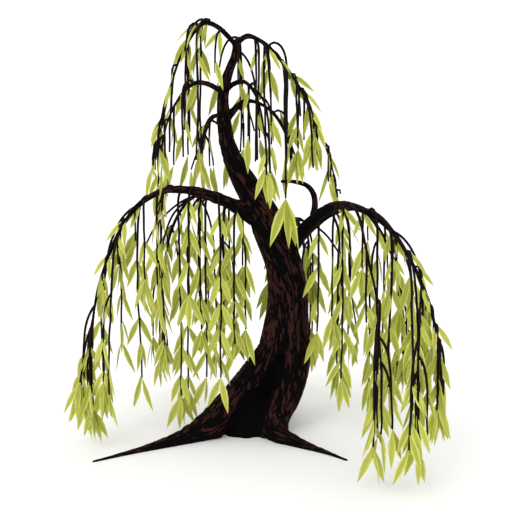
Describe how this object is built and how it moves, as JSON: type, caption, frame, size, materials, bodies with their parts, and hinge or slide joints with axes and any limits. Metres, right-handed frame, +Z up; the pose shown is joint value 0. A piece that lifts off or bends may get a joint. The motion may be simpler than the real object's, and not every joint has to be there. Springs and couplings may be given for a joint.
{
  "type": "weeping willow tree",
  "caption": "Small old weeping willow tree with a leaning trunk on spreading root buttresses and arching boughs hung with long curtains of narrow leaves, open at the front.",
  "frame": {"origin": "in the flat cut under the trunk, at ground level", "axes": "+Z up; -Y towards the open front of the crown, where the trunk shows; +X to the right seen from there"},
  "size_m": [4.3091, 4.3231, 4.8628],
  "materials": {
    "bark": "rough, deeply furrowed dark red-brown bark",
    "leaf": "matt yellow-green leaves on dark hanging shoots"
  },
  "bodies": {
    "root": {"bough_back": "bark", "bough_back_arch": "bark", "bough_back_left": "bark", "bough_back_left_arch": "bark", "bough_back_right": "bark", "bough_back_right_arch": "bark", "bough_curl": "bark", "bough_inner_back": "bark", "bough_inner_right": "bark", "bough_left": "bark", "bough_left_arch": "bark", "bough_mid_left": "bark", "bough_mid_right": "bark", "bough_right": "bark", "bough_right_arch": "bark", "bough_right_fore": "bark", "bough_right_front": "bark", "bough_top_back": "bark", "bough_top_left": "bark", "bough_top_right": "bark", "bough_top_right_arch": "bark", "foliage_back_inner": "leaf", "foliage_back_left_inner": "leaf", "foliage_back_left_outer": "leaf", "foliage_back_outer": "leaf", "foliage_back_right_inner": "leaf", "foliage_back_right_outer": "leaf", "foliage_inner_back": "leaf", "foliage_inner_right": "leaf", "foliage_left_inner": "leaf", "foliage_left_outer": "leaf", "foliage_left_tip": "leaf", "foliage_mid_left": "leaf", "foliage_mid_right": "leaf", "foliage_right_fore": "leaf", "foliage_right_front": "leaf", "foliage_right_inner": "leaf", "foliage_right_outer": "leaf", "foliage_top_back": "leaf", "foliage_top_left": "leaf", "foliage_top_right_inner": "leaf", "foliage_top_right_outer": "leaf", "trunk": "bark"}
  },
  "joints": []
}
